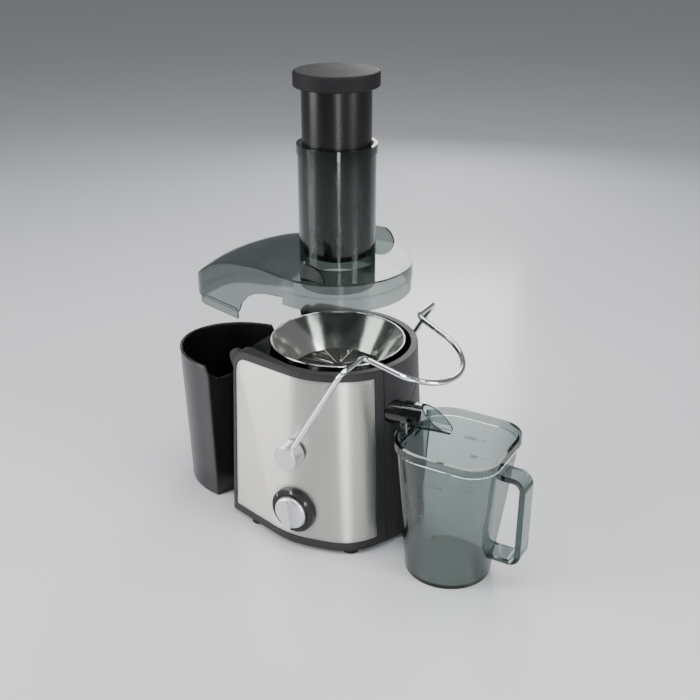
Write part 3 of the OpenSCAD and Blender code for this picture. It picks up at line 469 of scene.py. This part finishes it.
# %% Spun pieces: the basket's beaded rim
def spun(name, outline, steps, material, body):
    """Spins an outline of (radius, height) round the drive axis into a closed ring."""
    mesh = bpy.data.meshes.new(name)
    maker = bmesh.new()
    rings = []
    for k in range(steps):
        a = 2 * math.pi * k / steps
        rings.append([maker.verts.new((r * math.cos(a), r * math.sin(a), z)) for r, z in outline])
    for k in range(steps):
        here, there = rings[k], rings[(k + 1) % steps]
        for j in range(len(outline)):
            n = (j + 1) % len(outline)
            maker.faces.new((here[j], there[j], there[n], here[n]))
    bmesh.ops.recalc_face_normals(maker, faces=maker.faces)
    for face in maker.faces:
        face.smooth = True
    maker.to_mesh(mesh)
    maker.free()
    piece = bpy.data.objects.new(name, mesh)
    bpy.context.collection.objects.link(piece)
    mesh.materials.append(material)
    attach(piece, body)
    return piece


rim_low, rim_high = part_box("basket_rim")
rim_inner = rim_high.x - 0.0018
bead_r = 0.0003
bead_steps = 6
corner = 0.0002
beads = []
for bead in range(3):
    middle = rim_high.x - 0.00032 - 2 * bead_r * bead
    for step in range(bead_steps + 1):
        a = math.pi * step / bead_steps
        beads.append((middle + bead_r * math.cos(a), rim_high.z - bead_r + bead_r * math.sin(a)))
beads += [(rim_inner, rim_low.z + corner), (rim_inner + corner, rim_low.z), (rim_high.x - corner, rim_low.z)]
beaded_rim = spun("beaded_rim", beads, 180, chrome, "spinner")
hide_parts("basket_rim")
print("beaded rim faces:", len(beaded_rim.data.polygons))

# %% [markdown]
# The disc cuts with rows of tiny punched teeth. Each tooth is a small three-sided pyramid with one steep
# face. A bump could hint at them, but only real points catch the light one by one. The rows run outwards in
# slight spirals and leave the ribs free, and all the teeth are one mesh that turns with the disc.

# %% Grating teeth
teeth_mesh = bpy.data.meshes.new("grating_teeth")
maker = bmesh.new()
deck = disc_top - 0.0012
tooth_half, tooth_length, tooth_height = 0.0003, 0.0008, 0.0005
tooth_rows, teeth_in_row = 24, 15
first_r, last_r, step_out, spiral_step = 0.0095, 0.0425, 0.0022, 0.018
rib_every, rib_start, rib_margin = 45, 8, 2.2
for row in range(tooth_rows):
    for place in range(teeth_in_row):
        r = first_r + step_out * place
        a = 2 * math.pi * row / tooth_rows + spiral_step * place
        past_rib = (math.degrees(a) - rib_start) % rib_every
        if r > last_r or min(past_rib, rib_every - past_rib) < rib_margin:
            continue
        out = Vector((math.cos(a), math.sin(a), 0))
        side = Vector((-math.sin(a), math.cos(a), 0))
        foot = out * r + Vector((0, 0, deck))
        corners = [foot + out * tooth_half, foot - out * tooth_half, foot + side * tooth_length,
                   foot + Vector((0, 0, tooth_height))]
        v = [maker.verts.new(c) for c in corners]
        for f in ((0, 1, 2), (0, 3, 1), (1, 3, 2), (2, 3, 0)):
            maker.faces.new([v[i] for i in f])
bmesh.ops.recalc_face_normals(maker, faces=maker.faces)
maker.to_mesh(teeth_mesh)
maker.free()
teeth = bpy.data.objects.new("grating_teeth", teeth_mesh)
bpy.context.collection.objects.link(teeth)
teeth_mesh.materials.append(bright_steel)
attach(teeth, "spinner")
print("teeth:", len(teeth_mesh.vertices) // 4)

# %% [markdown]
# The interlock's return spring is one wire wound in four turns under the plunger's head. In the machine the
# coils close up towards their seat as the plunger goes in; here they keep one length. A curve with a round
# profile could draw the wire; sweeping the rings by hand closes its ends as well.

# %% Interlock spring
spring_low, spring_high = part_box("interlock_spring")
spring_axis = (spring_low + spring_high) / 2
wire_r = 0.00035
coil_r = (spring_high.x - spring_low.x) / 2 - wire_r
turns, steps, sides = 4, 24, 8
spring_mesh = bpy.data.meshes.new("return_spring")
maker = bmesh.new()
loops = []
for k in range(turns * steps + 1):
    a = 2 * math.pi * k / steps
    out = Vector((math.cos(a), math.sin(a), 0))
    height = spring_low.z + wire_r + (spring_high.z - spring_low.z - 2 * wire_r) * k / (turns * steps)
    middle = Vector((spring_axis.x, spring_axis.y, height)) + out * coil_r
    loops.append([maker.verts.new(middle + wire_r * (math.cos(t) * out + Vector((0, 0, math.sin(t)))))
                  for t in (2 * math.pi * j / sides for j in range(sides))])
for here, there in zip(loops[:-1], loops[1:]):
    for j in range(sides):
        n = (j + 1) % sides
        maker.faces.new((here[j], there[j], there[n], here[n]))
maker.faces.new(loops[0])
maker.faces.new(loops[-1][::-1])
bmesh.ops.recalc_face_normals(maker, faces=maker.faces)
maker.to_mesh(spring_mesh)
maker.free()
spring_mesh.materials.append(plain_steel)
return_spring = bpy.data.objects.new("return_spring", spring_mesh)
bpy.context.collection.objects.link(return_spring)
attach(return_spring, "base")
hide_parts("interlock_spring")
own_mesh(return_spring)
print("spring faces:", len(spring_mesh.polygons))

# %% [markdown]
# Printed marks are thin ink on a curved wall. An image could carry them, but it blurs up close. Here flat
# characters are turned into a mesh, and every corner is then dropped on the wall along a straight line, so
# the ink follows the wall's curve.

# %% Inks
ink_white, ink_tree, ink_shader = new_finish("white_ink")
ink_noise = noise(ink_tree, place_on_piece(ink_tree), 1800.0, 2.0)
colour_between(ink_tree, ink_shader, ink_noise, (0.62, 0.62, 0.62), (0.78, 0.78, 0.78))
ink_tree.links.new(ramp(ink_tree, ink_noise, 0.3, 0.7, 0.45, 0.6), ink_shader.inputs["Roughness"])
ink_grey, grey_tree, grey_shader = new_finish("moulded_mark")
grey_noise = noise(grey_tree, place_on_piece(grey_tree), 1500.0, 2.0)
colour_between(grey_tree, grey_shader, grey_noise, (0.07, 0.08, 0.08), (0.10, 0.115, 0.112))
grey_tree.links.new(ramp(grey_tree, grey_noise, 0.3, 0.7, 0.4, 0.55), grey_shader.inputs["Roughness"])
print("inks:", ink_white.name, "and", ink_grey.name)


def flat_sign(words, height):
    """Characters as flat triangles in the XY plane, starting at the origin."""
    curve = bpy.data.curves.new("sign", "FONT")
    curve.body = words
    curve.size = height
    curve.align_y = "CENTER"
    holder = bpy.data.objects.new("sign", curve)
    bpy.context.collection.objects.link(holder)
    graph = bpy.context.evaluated_depsgraph_get()
    graph.update()
    made = holder.evaluated_get(graph).to_mesh()
    points = [v.co.copy() for v in made.vertices]
    faces = [tuple(p.vertices) for p in made.polygons]
    bpy.data.objects.remove(holder)
    bpy.data.curves.remove(curve)
    return points, faces


def bar(x0, y0, x1, y1):
    """A flat bar, divided along its length so that it can bend."""
    n = 8
    points = [Vector((x0 + (x1 - x0) * k / n, y, 0)) for k in range(n + 1) for y in (y0, y1)]
    return points, [(2 * k, 2 * k + 2, 2 * k + 3, 2 * k + 1) for k in range(n)]


def ink_piece(name, signs, material, body):
    """One mesh of many flat signs, already placed in the frame."""
    mesh = bpy.data.meshes.new(name)
    points, faces = [], []
    for sign_points, sign_faces in signs:
        faces += [tuple(i + len(points) for i in f) for f in sign_faces]
        points += sign_points
    mesh.from_pydata([tuple(p) for p in points], [], faces)
    mesh.materials.append(material)
    piece = bpy.data.objects.new(name, mesh)
    bpy.context.collection.objects.link(piece)
    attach(piece, body)
    return piece


# %% [markdown]
# The jug's scale is moulded on its front wall and again, facing out, on the wall behind, in steps of
# 200 ml. The lines stand closer together higher up, because the jug widens towards its rim.

# %% The jug's scale
jug_low, jug_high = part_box("juice_jug")
jug_wall = BVHTree.FromObject(solids["juice_jug"], bpy.context.evaluated_depsgraph_get())
jug_y = -0.040
ray_start = 0.12
mark_lift = 0.00012


def on_wall(points, facing, x, z):
    """Drops flat points on the jug's wall; facing is -1 for the front wall and 1 for the back wall."""
    placed = []
    for p in points:
        start = Vector((x - facing * p.x, jug_y + facing * ray_start, z + p.y))
        hit = jug_wall.ray_cast(start, Vector((0, -facing, 0)))[0]
        placed.append(hit + Vector((0, facing * mark_lift, 0)) if hit else start)
    return placed


word_height, line_length, line_half, line_above = 0.0056, 0.0075, 0.0002, 0.0012
front_wall = (-1, 0.1463, 0.157)
back_wall = (1, 0.177, 0.1665)
scale_signs = []
for label, z in (("1100ml", 0.1265), ("900", 0.1055), ("700", 0.085), ("500", 0.0617)):
    words, word_faces = flat_sign(label, word_height)
    line, line_faces = bar(0, -line_half, line_length, line_half)
    for facing, line_x, words_x in (front_wall, back_wall):
        scale_signs.append((on_wall(line, facing, line_x, z + line_above), line_faces))
        scale_signs.append((on_wall(words, facing, words_x, z), word_faces))
jug_scale = ink_piece("jug_scale", scale_signs, ink_grey, "jug")
print("scale marks:", len(scale_signs))

# %% [markdown]
# The dial's positions are printed in white on the black bezel: off at the top, the two speeds to its left
# and right. The marks lie flat on the bezel's front face.

# %% Marks on the bezel
bezel_low, bezel_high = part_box("dial_bezel")
ink_lift = 0.00006
dial_centre = (bezel_low + bezel_high) / 2
dial_centre.y = bezel_low.y - ink_lift
mark_height, mark_ring = 0.0058, 0.0237
dial_signs = []
for mark, degrees in (("0", 0), ("I", -50), ("II", 50)):
    points, faces = flat_sign(mark, mark_height)
    middle = (max(p.x for p in points) + min(p.x for p in points)) / 2
    a = math.radians(degrees)
    at = dial_centre + Vector((math.sin(a), 0, math.cos(a))) * mark_ring
    dial_signs.append(([at + Vector((p.x - middle, 0, p.y)) for p in points], faces))
dial_marks = ink_piece("dial_marks", dial_signs, ink_white, "base")
print("dial marks:", len(dial_signs))

# %% [markdown]
# The table is a pale smooth sheet that mirrors the pieces faintly, with a slow change of tone so that it
# isn't one dead flat colour. It is large enough to fill the camera's view.

# %% Table top
table_mesh = bpy.data.meshes.new("table_top")
reach = 6
table_mesh.from_pydata([(-reach, -reach, 0), (reach, -reach, 0), (reach, reach, 0), (-reach, reach, 0)], [],
                       [(0, 1, 2, 3)])
table = bpy.data.objects.new("table_top", table_mesh)
table.location.z = -0.0002  # just under the feet, so the two faces don't flicker
bpy.context.collection.objects.link(table)
table_finish, table_tree, table_shader = new_finish("pale_table")
table_noise = noise(table_tree, place_on_piece(table_tree), 3.0, 3.0)
colour_between(table_tree, table_shader, table_noise, (0.66, 0.67, 0.69), (0.69, 0.70, 0.72))
table_tree.links.new(ramp(table_tree, table_noise, 0.3, 0.7, 0.2, 0.26), table_shader.inputs["Roughness"])
table_mesh.materials.append(table_finish)
print("table:", 2 * reach, "m square")
